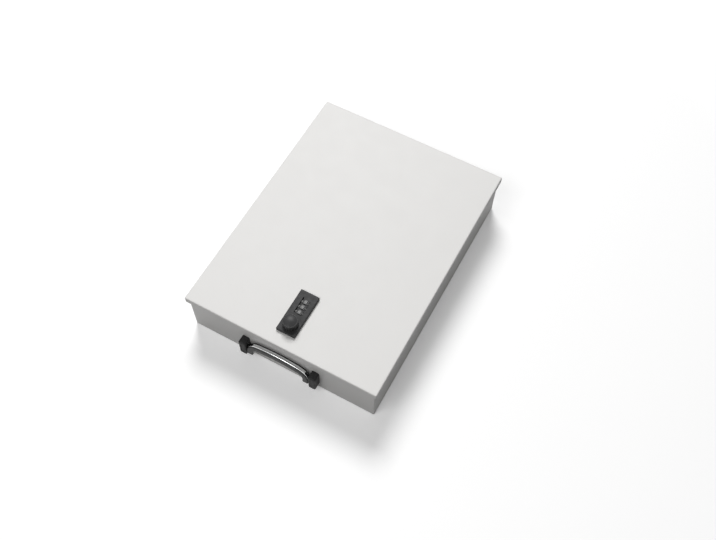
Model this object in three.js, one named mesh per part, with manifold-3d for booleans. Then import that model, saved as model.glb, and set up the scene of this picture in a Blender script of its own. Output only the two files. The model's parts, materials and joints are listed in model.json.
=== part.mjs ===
// A lockable document box of folded, powder-coated sheet steel. A shallow lid turns on a long
// hinge at the back and overlaps the body all round. A three-dial combination lock with a
// turning knob sits in the lid near the front edge, and a folding carrying handle is on the
// front wall. Millimetres, +Z up, the front faces -Y, the origin is the middle of the underside.

import * as THREE from 'three';
import { mergeVertices } from 'three/addons/utils/BufferGeometryUtils.js';
import Module from 'manifold-3d';

// Box, lid and body
const lidWidth = 280;
const lidDepth = 370;
const boxHeight = 75;
const sheet = 1.2;              // thickness of the steel
const lidFlange = 9;            // how far the lid's edge is turned down
const lidPlay = 2.3;            // gap between the lid's flange and the body's walls
const lidHeadroom = 0.8;        // gap between the body's rim and the lid
const rimWidth = 8;             // the rim turned inwards at the top of the walls
const cornerRadius = 2;         // upright corners
const foldRadius = 1.2;         // outside radius of the folded edges

// Fits between pieces
const seat = 0.1;               // hairline left where one piece sits on another
const fit = 0.3;                // play of a piece in the hole or pocket cut for it

// Long hinge at the back
const hingeLength = 240;
const knuckleCount = 12;        // shared in turn by the two leaves
const knuckleGap = 0.4;
const barrelRadius = 1.9;
const hingePinRadius = 1;
const leafThickness = 0.7;
const leafHeight = 6.5;
const leafMargin = 0.4;         // gap between a leaf and the other leaf's knuckles

// Lock case, set back from the lid's front edge
const lockWidth = 27;
const lockLength = 63.6;
const lockSetback = 18.8;       // from the lid's front edge
const lockPlateHeight = 4.5;
const lockCornerRadius = 1;
const lockEdgeRadius = 0.8;
const lockShoulder = 2;         // how far the plate overlaps the lid's cut-out
const lockBodyDepth = 15;       // case below the lid's top face
const lockRoof = 1.8;           // plate thickness over the dial pocket
const lockWall = 1.3;
const coverThickness = 1.2;
const clampThickness = 1.5;
const clampPlay = 2.4;          // gap between the lock case and the clamp's legs
const clampHubGap = 1.4;        // gap between the cam's hub and the clamp

// Dials
const dialCount = 3;
const dialPitch = 7.9;
const dialWidth = 5.4;
const dialRadius = 8.5;
const dialRise = 1.5;           // how far a dial stands out of the lock plate
const dialOffset = 1.5;         // the dials sit right of the lock's middle
const firstDialPlace = 33.1;     // from the lock's front end to the first dial's middle
const digitCount = 10;
const digitFlat = 28;           // degrees of the rim that a digit's flat takes
const grooveDepth = 0.7;
const dialPlay = 0.4;           // gap round a dial in its window
const slotWidth = 1.6;          // the slot that joins the windows at their left ends
const slotLap = 0.3;            // how far the slot runs into the windows
const sleeveRadius = 5;
const shaftRadius = 1.5;
const shaftHold = 2.5;          // length of the shaft held in each end wall
const springThickness = 0.5;
const springWidth = 4;
const barThickness = 1.6;
const barHeight = 2.4;
const barTravel = 1;            // the bar's way into the sleeves' notches
const toothWidth = 1.8;
const toothHeight = 1.6;

// Knob, spindle and cam
const knobPlace = 13.5;         // from the lock's front end to the knob's middle
const knobRadius = 10.2;
const knobTop = 15.8;           // middle of the domed top, above the lid
const knobRimDrop = 1.5;        // the rim round the dome is this much lower
const knobEdge = 0.8;
const domeRadius = 8.8;
const domeDrop = 1.7;           // the dome's edge is this much below its middle
const fluteCount = 16;          // flutes round the knob's side, for the fingers
const fluteRadius = 1.3;
const fluteDepth = 0.5;
const fluteMargin = 1.2;        // the flutes stop this far below the rim
const spindleRadius = 4;
const squareSize = 6;
const studRadius = 2.5;
const studEnd = 1.5;            // thread left standing past the nut
const camThickness = 2;
const camWidth = 12;
const camHubRadius = 7;
const camReach = 25;
const camGap = 0.5;             // gap between the cam and the lock's cover
const washerThickness = 1;
const camWasherRadius = 6;
const nutHeight = 3.5;
const nutFlats = 8;

// Strike inside the front wall
const strikeWidth = 40;
const strikeThickness = 1.5;
const strikeDepth = 10;
const strikeHeight = 11.5;
const strikeGap = 0.6;          // the locked cam turns this far below the strike

// Screws that hold the lock
const lockScrewRadius = 1.5;
const lockScrewHeadRadius = 3;
const lockScrewHeadHeight = 2.2;
const lockScrewGrip = 7;        // thread inside the lock case

// Carrying handle
const mountWidth = 10.5;
const mountHeight = 30;
const mountDepth = 12;
const mountTop = 45;            // above the underside of the box
const mountSpacing = 103.5;     // between the middles of the two mounts
const mountCornerRadius = 2.5;
const mountEdgeRadius = 2;
const pivotHeight = 25;         // above the underside of the box
const pivotStandOff = 7.2;      // in front of the front wall
const pivotPinRadius = 2;
const pinHold = 7.5;            // length of the pin inside the mount
const handleGap = 0.8;          // side gap between the grip and the mounts
const gripThickness = 8.4;
const gripDepth = 8.4;          // across the grip, from its inside to its outside edge
const gripTop = 24;             // from the pivot to the outside edge at the middle
const gripBow = 160;            // outside radius of the shallow bow
const gripShoulder = 18;        // outside radius where the legs meet the bow
const gripEdgeRadius = 1.6;
const gripLean = 3;             // degrees, the folded handle leans in on the wall
const gripSteps = 8;            // half the steps that draw each of the grip's arcs
const trimWidth = 4.8;
const trimThickness = 1.2;
const trimProud = 0.3;
const trimFoot = 5;             // the trim's ends are this far above the pivot
const handleScrewRadius = 1.6;
const handleScrewHeadRadius = 3.5;
const handleScrewHeadHeight = 2;
const handleScrewGrip = 8;      // thread inside the mount
const handleScrewSpacing = 20;
const handleWasherRadius = 4.5;
const handleWasherThickness = 0.8;

// Sizes that follow from the ones above
const bodyWidth = lidWidth - 2 * (sheet + lidPlay);
const bodyDepth = lidDepth - 2 * (sheet + lidPlay);
const rimTop = boxHeight - sheet - lidHeadroom;
const lidUnderside = boxHeight - sheet;
const backFace = bodyDepth / 2;
const frontFace = -bodyDepth / 2;
const lockFront = -lidDepth / 2 + lockSetback;
const lockBodyWidth = lockWidth - 2 * lockShoulder;
const lockBodyFront = lockShoulder;
const lockBodyBack = lockLength - lockShoulder;
const dialAxisHeight = lockPlateHeight + dialRise - dialRadius;
const sleeveLength = dialPitch - seat * 2;
const pocketFront = firstDialPlace - dialWidth / 2 - fit;
const pocketBack = firstDialPlace + dialPitch * dialCount - dialWidth / 2 + fit;
const pocketHalfWidth = lockBodyWidth / 2 - lockWall;
const coverTop = -lockBodyDepth - seat;
const coverBottom = coverTop - coverThickness;
const clampTop = coverBottom - seat;
const clampBottom = clampTop - clampThickness;
const clampFront = knobPlace + camHubRadius + clampHubGap;
const clampInside = lockBodyWidth / 2 + clampPlay;
const lockScrewFront = (clampFront + pocketFront) / 2;
const lockScrewBack = (pocketBack + lockBodyBack) / 2;
const camTop = coverBottom - camGap;
const camBottom = camTop - camThickness;
const camWasherBottom = camBottom - seat - washerThickness;
const nutBottom = camWasherBottom - seat - nutHeight;
const hingeAxisY = backFace + barrelRadius + fit;
const hingeAxisZ = boxHeight - lidFlange - barrelRadius - fit;
const mountMiddle = mountTop - mountHeight / 2;
const gripHalfWidth = mountSpacing / 2 - mountWidth / 2 - handleGap;

// The knob's spindle runs through the lock case and its cover; the stud takes washer and nut.
const spindleBottom = coverBottom - camGap / 2;
const squareBottom = camBottom;
const studBottom = nutBottom - studEnd;

const wasm = await Module();
wasm.setup();

// Turns a closed geometry into a solid that can be joined and cut.
function solidOf(geometry) {
  const bare = geometry.clone();
  bare.deleteAttribute('normal');
  bare.deleteAttribute('uv');
  const merged = mergeVertices(bare, 1e-5);
  const corners = merged.index.array;
  const kept = [];
  for (let i = 0; i < corners.length; i += 3) {
    const [a, b, c] = corners.slice(i, i + 3);
    if (a !== b && b !== c && c !== a) kept.push(a, b, c);
  }
  return new wasm.Manifold(new wasm.Mesh({
    numProp: 3,
    vertProperties: merged.attributes.position.array,
    triVerts: new Uint32Array(kept),
  }));
}

function geometryOf(solid) {
  const mesh = solid.getMesh();
  const geometry = new THREE.BufferGeometry();
  geometry.setAttribute('position', new THREE.BufferAttribute(mesh.vertProperties, 3));
  geometry.setIndex(new THREE.BufferAttribute(mesh.triVerts, 1));
  return geometry;
}

// A plain block between two corners.
function block(low, high) {
  const size = high.map((value, i) => value - low[i]);
  const middle = high.map((value, i) => (value + low[i]) / 2);
  return solidOf(new THREE.BoxGeometry(...size).translate(...middle));
}

// A round bar along x, y or z. place holds the two coordinates across the bar, in xyz order.
function bar(axis, radius, from, to, place, sides = 24) {
  const geometry = new THREE.CylinderGeometry(radius, radius, to - from, sides);
  const middle = (from + to) / 2;
  if (axis === 'x') geometry.rotateZ(-Math.PI / 2).translate(middle, place[0], place[1]);
  if (axis === 'y') geometry.translate(place[0], middle, place[1]);
  if (axis === 'z') geometry.rotateX(Math.PI / 2).translate(place[0], place[1], middle);
  return solidOf(geometry);
}

function roundedRectangle(width, height, radius) {
  const x = width / 2;
  const y = height / 2;
  const shape = new THREE.Shape();
  shape.moveTo(x - radius, -y);
  shape.absarc(x - radius, -y + radius, radius, -Math.PI / 2, 0);
  shape.absarc(x - radius, y - radius, radius, 0, Math.PI / 2);
  shape.absarc(-x + radius, y - radius, radius, Math.PI / 2, Math.PI);
  shape.absarc(-x + radius, -y + radius, radius, Math.PI, 1.5 * Math.PI);
  shape.closePath();
  return shape;
}

function polygon(points) {
  return new THREE.Shape(points.map(([x, y]) => new THREE.Vector2(x, y)));
}

// A slab of a shape drawn in x and y, standing from bottom to top.
function slab(shape, bottom, top, curveSegments = 3) {
  const geometry = new THREE.ExtrudeGeometry(shape, {
    depth: top - bottom, bevelEnabled: false, curveSegments,
  });
  return solidOf(geometry.translate(0, 0, bottom));
}

// The same slab with all its edges rounded, the full shape kept in the middle.
function softSlab(shape, bottom, top, edge, curveSegments = 3) {
  const geometry = new THREE.ExtrudeGeometry(shape, {
    depth: top - bottom - 2 * edge,
    bevelThickness: edge,
    bevelSize: edge,
    bevelOffset: -edge,
    bevelSegments: 2,
    curveSegments,
  });
  return geometry.translate(0, 0, bottom + edge);
}

// A length of a profile drawn in y and z, running along x from left to right.
function profileAlongX(shape, left, right) {
  const geometry = new THREE.ExtrudeGeometry(shape, { depth: right - left, bevelEnabled: false });
  const turn = new THREE.Matrix4().makeBasis(
    new THREE.Vector3(0, 1, 0), new THREE.Vector3(0, 0, 1), new THREE.Vector3(1, 0, 0),
  );
  return solidOf(geometry.applyMatrix4(turn).translate(left, 0, 0));
}

// A length of a profile drawn in x and z, running along y from front to back.
function profileAlongY(shape, front, back, curveSegments = 6) {
  const geometry = new THREE.ExtrudeGeometry(shape, {
    depth: back - front, bevelEnabled: false, curveSegments,
  });
  return solidOf(geometry.rotateX(Math.PI / 2).translate(0, back, 0));
}

// A turned piece about z, from points of radius and height that start and end on the axis.
function turned(points, sides = 24) {
  const profile = points.map(([radius, height]) => new THREE.Vector2(radius, height));
  return solidOf(new THREE.LatheGeometry(profile, sides).rotateX(Math.PI / 2));
}

function joined(solids) {
  return solids.reduce((whole, solid) => whole.add(solid));
}

function cut(solid, tools) {
  return tools.reduce((rest, tool) => rest.subtract(tool), solid);
}

const finishes = {
  powderCoat: { color: 0xe5e4e2, roughness: 0.55, metalness: 0 },
  zincSteel: { color: 0xb8bbbd, roughness: 0.35, metalness: 1 },
  blackCasting: { color: 0x3a3b3c, roughness: 0.5, metalness: 0 },
  blackPlastic: { color: 0x1e1e1f, roughness: 0.45, metalness: 0 },
  dialPlastic: { color: 0x2a2a2b, roughness: 0.4, metalness: 0 },
  chrome: { color: 0xd8dadc, roughness: 0.12, metalness: 1 },
  brass: { color: 0xb89a55, roughness: 0.35, metalness: 1 },
};

// Adds one named piece to its group. Each piece gets a material of its own.
function addPiece(group, name, solid, finish) {
  const mesh = new THREE.Mesh(geometryOf(solid), new THREE.MeshStandardMaterial(finishes[finish]));
  mesh.name = name;
  group.add(mesh);
  return mesh;
}

// The body is one folded tray whose walls end in a rim turned inwards.
function bodyTray() {
  const outside = solidOf(softSlab(
    roundedRectangle(bodyWidth, bodyDepth, cornerRadius), 0, rimTop + foldRadius * 2, foldRadius,
  ));
  const aboveRim = block(
    [-lidWidth, -lidDepth, rimTop], [lidWidth, lidDepth, boxHeight * 2],
  );
  const inside = roundedRectangle(
    bodyWidth - 2 * sheet, bodyDepth - 2 * sheet, cornerRadius - sheet,
  );
  const mouth = roundedRectangle(
    bodyWidth - 2 * (sheet + rimWidth), bodyDepth - 2 * (sheet + rimWidth), cornerRadius,
  );
  const screwHoles = handleScrewPlaces().map(([x, z]) => (
    bar('y', handleScrewRadius + fit, frontFace - sheet, frontFace + 2 * sheet, [x, z], 16)
  ));
  return cut(outside, [
    aboveRim,
    slab(inside, sheet, rimTop - sheet),
    slab(mouth, rimTop - 2 * sheet, rimTop + sheet),
    ...screwHoles,
  ]);
}

// The lid is a shallow tray, open below, with a cut-out for the lock case.
function lidTray() {
  const outside = solidOf(softSlab(
    roundedRectangle(lidWidth, lidDepth, cornerRadius),
    boxHeight - lidFlange - foldRadius * 2, boxHeight, foldRadius,
  ));
  const belowFlange = block(
    [-lidWidth, -lidDepth, -boxHeight], [lidWidth, lidDepth, boxHeight - lidFlange],
  );
  const inside = roundedRectangle(
    lidWidth - 2 * sheet, lidDepth - 2 * sheet, cornerRadius - sheet,
  );
  const lockCutOut = block(
    [-lockBodyWidth / 2 - fit, lockFront + lockBodyFront - fit, lidUnderside - sheet],
    [lockBodyWidth / 2 + fit, lockFront + lockBodyBack + fit, boxHeight + sheet],
  );
  return cut(outside, [
    belowFlange, slab(inside, boxHeight - lidFlange - sheet, lidUnderside), lockCutOut,
  ]);
}

// One hinge leaf: a strip along the barrel with every other knuckle rolled on its edge.
// The strip's near and far faces are measured from the barrel's axis, towards +Y.
function hingeLeaf(near, far, firstKnuckle, rootHeight) {
  const knuckle = hingeLength / knuckleCount;
  const stripBottom = barrelRadius + leafMargin;
  const pieces = [block(
    [-hingeLength / 2, near, stripBottom],
    [hingeLength / 2, far, stripBottom + leafHeight],
  )];
  for (let i = firstKnuckle; i < knuckleCount; i += 2) {
    const left = -hingeLength / 2 + i * knuckle + knuckleGap / 2;
    const right = left + knuckle - knuckleGap;
    pieces.push(block([left, near, rootHeight], [right, far, stripBottom + leafThickness]));
    pieces.push(bar('x', barrelRadius, left, right, [0, 0], 16));
  }
  const bore = bar('x', hingePinRadius + fit, -hingeLength, hingeLength, [0, 0], 16);
  return joined(pieces).subtract(bore);
}

function buildHinge() {
  const group = new THREE.Group();
  group.position.set(0, hingeAxisY, hingeAxisZ);
  const wall = backFace - hingeAxisY;
  const flange = lidDepth / 2 - sheet - hingeAxisY;
  const knuckleRoot = hingePinRadius + fit + leafThickness / 4;
  addPiece(
    group, 'hinge_leaf_base', hingeLeaf(wall + seat, wall + seat + leafThickness, 0, 0), 'zincSteel',
  );
  addPiece(
    group, 'hinge_leaf_lid',
    hingeLeaf(flange - seat - leafThickness, flange - seat, 1, knuckleRoot), 'zincSteel',
  );
  addPiece(
    group, 'hinge_pin',
    bar('x', hingePinRadius, -hingeLength / 2, hingeLength / 2, [0, 0], 16), 'zincSteel',
  );
  return group;
}

// An angle welded inside the front wall. The lock's cam turns under its lower leg.
function strikePlate() {
  const bottom = boxHeight + camTop + strikeGap;
  const wall = frontFace + sheet + seat;
  return profileAlongX(polygon([
    [wall, bottom],
    [wall + strikeDepth, bottom],
    [wall + strikeDepth, bottom + strikeThickness],
    [wall + strikeThickness, bottom + strikeThickness],
    [wall + strikeThickness, bottom + strikeHeight],
    [wall, bottom + strikeHeight],
  ]), -strikeWidth / 2, strikeWidth / 2);
}

// The lock group's origin is the front end of the lock plate, on the lid's top face.
function dialPlace(index) {
  return firstDialPlace + index * dialPitch;
}

// Half the width of a dial's window at the plate's face.
function windowHalfWidth() {
  const radius = dialRadius + dialPlay;
  const rise = lockPlateHeight - dialAxisHeight;
  return Math.sqrt(radius * radius - rise * rise);
}

function lockHousing() {
  const middle = lockLength / 2;
  const plate = solidOf(softSlab(
    roundedRectangle(lockWidth, lockLength, lockCornerRadius),
    -lockEdgeRadius * 2, lockPlateHeight, lockEdgeRadius,
  ).translate(0, middle, 0)).subtract(block(
    [-lockWidth, -lockLength, -lockBodyDepth], [lockWidth, 2 * lockLength, 0],
  ));
  const body = block(
    [-lockBodyWidth / 2, lockBodyFront, -lockBodyDepth],
    [lockBodyWidth / 2, lockBodyBack, lockPlateHeight / 2],
  );
  const pocket = block(
    [-pocketHalfWidth, pocketFront, -lockBodyDepth - sheet],
    [pocketHalfWidth, pocketBack, lockPlateHeight - lockRoof],
  );
  const spindleBore = bar(
    'z', spindleRadius + fit, -lockBodyDepth - sheet, lockPlateHeight + sheet, [0, knobPlace],
  );
  const shaftBore = bar(
    'y', shaftRadius + fit, pocketFront - shaftHold - fit, pocketBack + shaftHold + fit,
    [dialOffset, dialAxisHeight], 16,
  );
  const windows = [];
  for (let i = 0; i < dialCount; i += 1) {
    const half = dialWidth / 2 + dialPlay;
    windows.push(bar(
      'y', dialRadius + dialPlay, dialPlace(i) - half, dialPlace(i) + half,
      [dialOffset, dialAxisHeight], 40,
    ).subtract(block(
      [-lockWidth, 0, -lockBodyDepth * 2], [lockWidth, lockLength, 0],
    )));
  }
  const slotRight = dialOffset - windowHalfWidth() + slotLap;
  windows.push(block(
    [slotRight - slotWidth, pocketFront, 0], [slotRight, pocketBack, lockPlateHeight + sheet],
  ));
  const screwHoles = [lockScrewFront, lockScrewBack].map((y) => bar(
    'z', lockScrewRadius + fit, -lockBodyDepth - sheet,
    -lockBodyDepth + lockScrewGrip + fit, [0, y], 16,
  ));
  return cut(plate.add(body), [pocket, spindleBore, shaftBore, ...windows, ...screwHoles]);
}

function lockCover() {
  const plate = block(
    [-lockBodyWidth / 2, lockBodyFront, coverBottom], [lockBodyWidth / 2, lockBodyBack, coverTop],
  );
  const holes = [lockScrewFront, lockScrewBack].map((y) => (
    bar('z', lockScrewRadius + fit, coverBottom - sheet, coverTop + sheet, [0, y], 16)
  ));
  const spindleHole = bar(
    'z', spindleRadius + fit, coverBottom - sheet, coverTop + sheet, [0, knobPlace],
  );
  return cut(plate, [...holes, spindleHole]);
}

// A channel below the lock case. Its legs press on the underside of the lid.
function lockClamp() {
  const outside = clampInside + clampThickness;
  const legTop = -sheet - seat;
  const channel = profileAlongY(polygon([
    [-outside, clampBottom],
    [outside, clampBottom],
    [outside, legTop],
    [clampInside, legTop],
    [clampInside, clampTop],
    [-clampInside, clampTop],
    [-clampInside, legTop],
    [-outside, legTop],
  ]), clampFront, lockBodyBack);
  const holes = [lockScrewFront, lockScrewBack].map((y) => (
    bar('z', lockScrewRadius + fit, clampBottom - sheet, clampTop + sheet, [0, y], 16)
  ));
  return cut(channel, holes);
}

// A pan-head screw about z: the head hangs below the seat, the shank points up.
function panScrew(radius, headRadius, headHeight, seatHeight, tip) {
  const headBottom = seatHeight - headHeight;
  const shoulder = headBottom + headHeight / 3;
  return turned([
    [0, headBottom],
    [headRadius * 0.75, headBottom],
    [headRadius, shoulder],
    [headRadius, seatHeight],
    [radius, seatHeight],
    [radius, tip - radius / 2],
    [radius / 2, tip],
    [0, tip],
  ], 16);
}

// A dial's rim has a flat for each digit and a groove between the flats for the thumb.
function dialWheel(place) {
  const step = (2 * Math.PI) / digitCount;
  const halfFlat = THREE.MathUtils.degToRad(digitFlat) / 2;
  const rim = [];
  for (let i = 0; i < digitCount; i += 1) {
    const middle = Math.PI / 2 + i * step;
    const points = [
      [middle - halfFlat, dialRadius],
      [middle + halfFlat, dialRadius],
      [middle + step / 2, dialRadius - grooveDepth],
    ];
    points.forEach(([angle, radius]) => {
      rim.push([
        dialOffset + radius * Math.cos(angle), dialAxisHeight + radius * Math.sin(angle),
      ]);
    });
  }
  const half = dialWidth / 2;
  const wheel = profileAlongY(polygon(rim), place - half, place + half);
  return wheel.subtract(bar(
    'y', sleeveRadius + fit, place - dialWidth, place + dialWidth, [dialOffset, dialAxisHeight],
  ));
}

// The sleeve inside a dial. Its notches lie beside the dial, where the blocking bar's tooth enters:
// one for the code in use, and one half a turn on, for setting a new code.
function dialSleeve(place) {
  const start = place - dialWidth / 2;
  const sleeve = bar(
    'y', sleeveRadius, start, start + sleeveLength, [dialOffset, dialAxisHeight],
  );
  const bore = bar(
    'y', shaftRadius + fit, start - sheet, start + sleeveLength + sheet,
    [dialOffset, dialAxisHeight], 16,
  );
  const toothMiddle = place + dialPitch / 2;
  const notchHalf = toothHeight / 2 + fit;
  const notches = [-1, 1].map((side) => {
    const floor = dialOffset + side * (sleeveRadius - barTravel);
    const outside = dialOffset + side * sleeveRadius * 2;
    return block(
      [Math.min(floor, outside), toothMiddle - toothWidth / 2 - fit, dialAxisHeight - notchHalf],
      [Math.max(floor, outside), toothMiddle + toothWidth / 2 + fit, dialAxisHeight + notchHalf],
    );
  });
  return cut(sleeve, [bore, ...notches]);
}

// The blocking bar lies along the pocket's left wall, one tooth beside each sleeve.
function blockingBar() {
  const left = -pocketHalfWidth + fit;
  const right = left + barThickness;
  const toothTip = dialOffset - sleeveRadius - fit;
  const pieces = [block(
    [left, pocketFront + fit, dialAxisHeight - barHeight / 2],
    [right, pocketBack - fit, dialAxisHeight + barHeight / 2],
  )];
  for (let i = 0; i < dialCount; i += 1) {
    const middle = dialPlace(i) + dialPitch / 2;
    pieces.push(block(
      [left, middle - toothWidth / 2, dialAxisHeight - toothHeight / 2],
      [toothTip, middle + toothWidth / 2, dialAxisHeight + toothHeight / 2],
    ));
  }
  return joined(pieces);
}

// A comb of leaf springs on the cover. One finger rises under each dial.
function dialSpring() {
  const floor = coverTop + seat;
  const left = -pocketHalfWidth + fit;
  const tipHeight = dialAxisHeight - dialRadius - fit;
  const right = dialOffset + springWidth / 2;
  const finger = polygon([
    [left, floor],
    [left + springWidth, floor],
    [dialOffset, tipHeight - springThickness],
    [right, tipHeight - springThickness],
    [right, tipHeight],
    [dialOffset - springThickness, tipHeight],
    [left + springWidth - springThickness, floor + springThickness],
    [left, floor + springThickness],
  ]);
  const pieces = [block(
    [left, pocketFront + fit, floor],
    [left + springWidth / 2, pocketBack - fit, floor + springThickness],
  )];
  for (let i = 0; i < dialCount; i += 1) {
    const place = dialPlace(i);
    pieces.push(profileAlongY(finger, place - springWidth / 2, place + springWidth / 2));
  }
  return joined(pieces);
}

// Knob and spindle are one casting. The top is a low dome inside a narrow rim, the side is fluted.
function lockKnob() {
  const knobBottom = lockPlateHeight + fit;
  const knobRim = knobTop - knobRimDrop;
  const casting = turned([
    [0, studBottom],
    [studRadius, studBottom],
    [studRadius, squareBottom],
    [studRadius, spindleBottom],
    [spindleRadius, spindleBottom],
    [spindleRadius, knobBottom],
    [knobRadius, knobBottom],
    [knobRadius, knobRim - knobEdge],
    [knobRadius - knobEdge, knobRim],
    [domeRadius, knobRim],
    ...[1, 0.75, 0.5, 0.25, 0].map((share) => [domeRadius * share, knobTop - domeDrop * share ** 2]),
  ], 32);
  const square = block(
    [-squareSize / 2, -squareSize / 2, squareBottom],
    [squareSize / 2, squareSize / 2, spindleBottom + seat],
  );
  const flutes = [];
  for (let i = 0; i < fluteCount; i += 1) {
    const angle = ((i + 0.5) * 2 * Math.PI) / fluteCount;
    const away = knobRadius + fluteRadius - fluteDepth;
    flutes.push(bar(
      'z', fluteRadius, knobBottom - sheet, knobRim - fluteMargin,
      [away * Math.cos(angle), away * Math.sin(angle)], 12,
    ));
  }
  return cut(casting.add(square), flutes);
}

// At rest the cam points right, clear of the strike. Turned a quarter it points to the front.
function lockCam() {
  const half = camWidth / 2;
  const arm = block([0, -half, camBottom], [camReach - half, half, camTop]);
  const hub = bar('z', camHubRadius, camBottom, camTop, [0, 0]);
  const tip = bar('z', half, camBottom, camTop, [camReach - half, 0]);
  const hole = squareSize / 2 + fit;
  return joined([arm, hub, tip]).subtract(block(
    [-hole, -hole, camBottom - camThickness], [hole, hole, camTop + camThickness],
  ));
}

function flatWasher(radius, bore, bottom, top) {
  return bar('z', radius, bottom, top, [0, 0])
    .subtract(bar('z', bore, bottom - sheet, top + sheet, [0, 0], 16));
}

function camNut() {
  const hexagon = bar('z', nutFlats / Math.sqrt(3), nutBottom, nutBottom + nutHeight, [0, 0], 6);
  return hexagon.subtract(
    bar('z', studRadius + fit, nutBottom - sheet, nutBottom + nutHeight + sheet, [0, 0], 16),
  );
}

function buildLock() {
  const group = new THREE.Group();
  group.position.set(0, lockFront, boxHeight);
  addPiece(group, 'lock_housing', lockHousing(), 'blackCasting').position.set(0, 0, seat);
  addPiece(group, 'lock_back_cover', lockCover(), 'zincSteel');
  addPiece(group, 'lock_clamp', lockClamp(), 'zincSteel');
  const screw = panScrew(
    lockScrewRadius, lockScrewHeadRadius, lockScrewHeadHeight,
    clampBottom - seat, -lockBodyDepth + lockScrewGrip,
  );
  addPiece(group, 'lock_screw_front', screw, 'zincSteel').position.set(0, lockScrewFront, 0);
  addPiece(group, 'lock_screw_rear', screw, 'zincSteel').position.set(0, lockScrewBack, 0);
  addPiece(group, 'dial_shaft', bar(
    'y', shaftRadius, pocketFront - shaftHold, pocketBack + shaftHold,
    [dialOffset, dialAxisHeight], 16,
  ), 'zincSteel').position.set(0, 0, seat);
  for (let i = 0; i < dialCount; i += 1) {
    const place = dialPlace(i);
    addPiece(group, `dial_${i + 1}`, dialWheel(place), 'dialPlastic').position.set(0, 0, seat);
    addPiece(group, `dial_sleeve_${i + 1}`, dialSleeve(place), 'brass').position.set(0, 0, seat);
  }
  addPiece(group, 'dial_spring', dialSpring(), 'zincSteel');
  addPiece(group, 'blocking_bar', blockingBar(), 'brass').position.set(0, 0, seat);
  const turning = new THREE.Group();
  turning.position.set(0, knobPlace, 0);
  addPiece(turning, 'lock_knob', lockKnob(), 'blackCasting');
  addPiece(turning, 'lock_cam', lockCam(), 'zincSteel');
  addPiece(turning, 'cam_washer', flatWasher(
    camWasherRadius, studRadius + fit, camWasherBottom, camWasherBottom + washerThickness,
  ), 'zincSteel');
  addPiece(turning, 'cam_nut', camNut(), 'zincSteel');
  group.add(turning);
  return group;
}

// Four screws come from inside the front wall, two into each mount.
function handleScrewPlaces() {
  const places = [];
  [-1, 1].forEach((side) => {
    [-1, 1].forEach((level) => {
      places.push([side * mountSpacing / 2, mountMiddle + level * handleScrewSpacing / 2]);
    });
  });
  return places;
}

// A moulded block with a blind hole for the pivot pin in the side that faces the grip.
function handleMount(side) {
  const middle = side * mountSpacing / 2;
  const back = frontFace - seat;
  const outside = solidOf(softSlab(
    roundedRectangle(mountWidth, mountHeight, mountCornerRadius),
    0, mountDepth + 2 * mountEdgeRadius, mountEdgeRadius,
  ).rotateX(Math.PI / 2).translate(middle, back + 2 * mountEdgeRadius, mountMiddle));
  const behind = block(
    [middle - mountWidth, back, 0], [middle + mountWidth, back + 3 * mountEdgeRadius, boxHeight],
  );
  const inner = middle - side * mountWidth / 2;
  const ends = [inner - side * sheet, inner + side * (pinHold + fit)].sort((a, b) => a - b);
  const pinHole = bar(
    'x', pivotPinRadius + fit, ends[0], ends[1], [frontFace - pivotStandOff, pivotHeight],
  );
  const screwHoles = handleScrewPlaces().filter(([x]) => x * side > 0).map(([x, z]) => bar(
    'y', handleScrewRadius + fit, back - handleScrewGrip - fit, back + sheet, [x, z], 16,
  ));
  return cut(outside, [behind, pinHole, ...screwHoles]);
}

// Points along the grip's edge from one foot to the other, moved outwards by an offset. A shallow
// arc meets an arc at each shoulder, and these meet the straight legs.
function gripEdge(offset) {
  const shoulderPlace = gripHalfWidth - gripShoulder;
  const meeting = Math.acos(shoulderPlace / (gripBow - gripShoulder));
  const bowCentre = gripTop - gripBow;
  const shoulderCentre = bowCentre + (gripBow - gripShoulder) * Math.sin(meeting);
  const path = new THREE.Path();
  path.moveTo(gripHalfWidth + offset, 0);
  path.lineTo(gripHalfWidth + offset, shoulderCentre);
  path.absarc(shoulderPlace, shoulderCentre, gripShoulder + offset, 0, meeting);
  path.absarc(0, bowCentre, gripBow + offset, meeting, Math.PI - meeting);
  path.absarc(-shoulderPlace, shoulderCentre, gripShoulder + offset, Math.PI - meeting, Math.PI);
  path.lineTo(-gripHalfWidth - offset, 0);
  return path.getPoints(gripSteps);
}

// The grip is drawn in x and z about the pivot, with a round foot at the end of each leg.
function gripOutline() {
  const eye = gripDepth / 2;
  const shape = new THREE.Shape(gripEdge(0));
  shape.absarc(-gripHalfWidth + eye, 0, eye, Math.PI, 2 * Math.PI);
  gripEdge(-gripDepth).reverse().forEach((point) => shape.lineTo(point.x, point.y));
  shape.absarc(gripHalfWidth - eye, 0, eye, Math.PI, 2 * Math.PI);
  return shape;
}

// A band along the grip's edge between two offsets, as wide as the trim or its groove. It ends
// a little above the pivot.
function edgeBand(inside, outside, foot, width) {
  const shape = new THREE.Shape([...gripEdge(outside), ...gripEdge(inside).reverse()]);
  const below = block([-mountSpacing, -width, -gripTop], [mountSpacing, width, foot]);
  return profileAlongY(shape, -width / 2, width / 2).subtract(below);
}

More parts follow.
